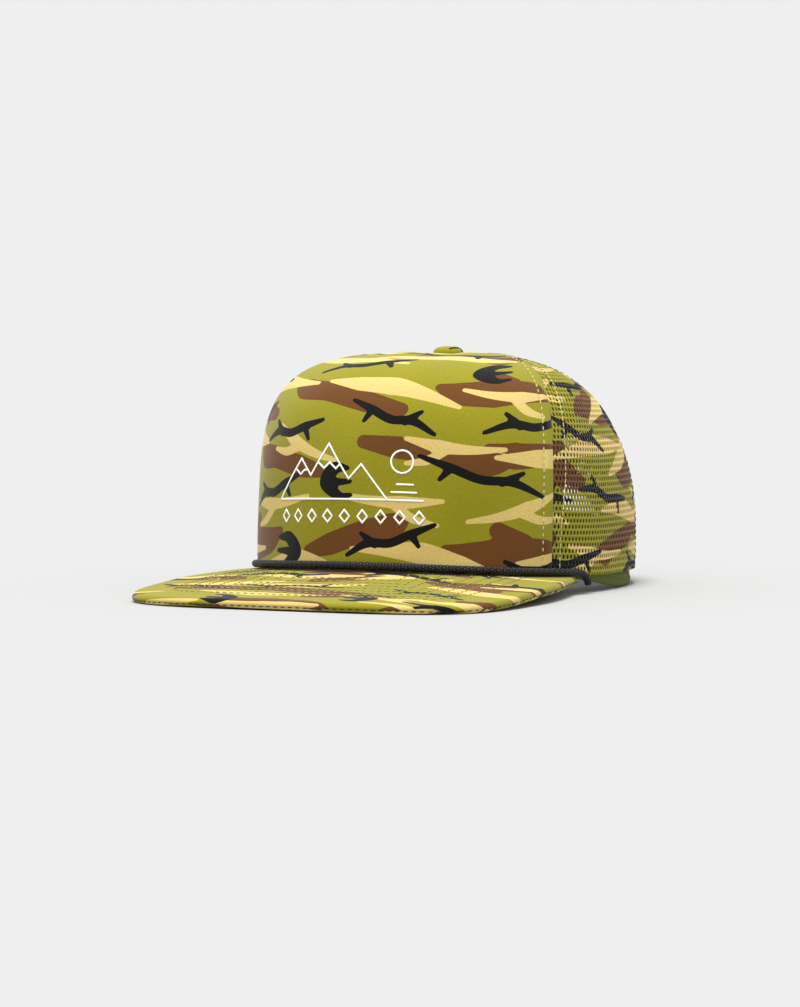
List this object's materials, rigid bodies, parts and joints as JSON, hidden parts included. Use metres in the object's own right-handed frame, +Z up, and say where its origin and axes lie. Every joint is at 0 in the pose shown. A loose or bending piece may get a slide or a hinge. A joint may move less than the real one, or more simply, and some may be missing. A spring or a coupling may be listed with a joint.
{
  "type": "trucker mesh cap",
  "caption": "Trucker cap with a padded front panel, mesh sides and back, a roped flat brim, a covered button and an adjustable snap strap in a rear arch.",
  "frame": {"origin": "centre of the cap's footprint, on the surface that it stands on", "axes": "+Z up; -Y towards the brim's front edge; +X towards the wearer's left"},
  "size_m": [0.1802, 0.2633, 0.1119],
  "materials": {
    "panel_knit": "printed smooth knit in lime, tan, brown and black camouflage",
    "foam": "off-white foam",
    "mesh": "printed knitted mesh with oval holes",
    "tape": "olive woven tape",
    "board": "plain polyethylene board",
    "under_cover": "printed smooth knit, the same camouflage",
    "rope": "black braided cord",
    "button_metal": "pressed steel",
    "sweatband": "olive smooth woven band",
    "strap": "moulded olive plastic",
    "label": "blank woven label"
  },
  "bodies": {
    "cap": {"front_panel_face": "panel_knit", "front_panel_foam": "foam", "side_mesh_left": "mesh", "side_mesh_right": "mesh", "rear_mesh_left": "mesh", "rear_mesh_right": "mesh", "seam_tape_front_left": "tape", "seam_tape_front_right": "tape", "seam_tape_side_left": "tape", "seam_tape_side_right": "tape", "seam_tape_rear": "tape", "arch_binding": "panel_knit", "brim_top_cover": "panel_knit", "brim_board": "board", "brim_under_cover": "under_cover", "rope": "rope", "button_cover": "panel_knit", "button_shell": "button_metal", "button_back": "button_metal", "sweatband": "sweatband", "forehead_pad": "foam", "snap_strap_holes_end": "strap", "snap_strap_pegs_end": "strap"},
    "strap_holes": {"snap_strap_holes": "strap"},
    "strap_pegs": {"snap_strap_pegs": "strap"},
    "label": {"care_label": "label"}
  },
  "joints": [
    {"name": "strap_holes_swing", "type": "hinge", "parent": "cap", "child": "strap_holes", "pos_m": [0.04303, 0.12004, 0.0079], "axis": [0, 0, -1], "range_deg": [0, 60], "stiffness_Nm_per_rad": 0.01},
    {"name": "strap_pegs_swing", "type": "hinge", "parent": "cap", "child": "strap_pegs", "pos_m": [-0.04303, 0.12004, 0.0079], "axis": [0, 0, -1], "range_deg": [0, 50], "stiffness_Nm_per_rad": 0.01},
    {"name": "label_flip", "type": "hinge", "parent": "cap", "child": "label", "pos_m": [-0.07182, 0.07848, 0.02873], "axis": [-0.3511, -0.9363, 0], "range_deg": [0, 150]}
  ]
}
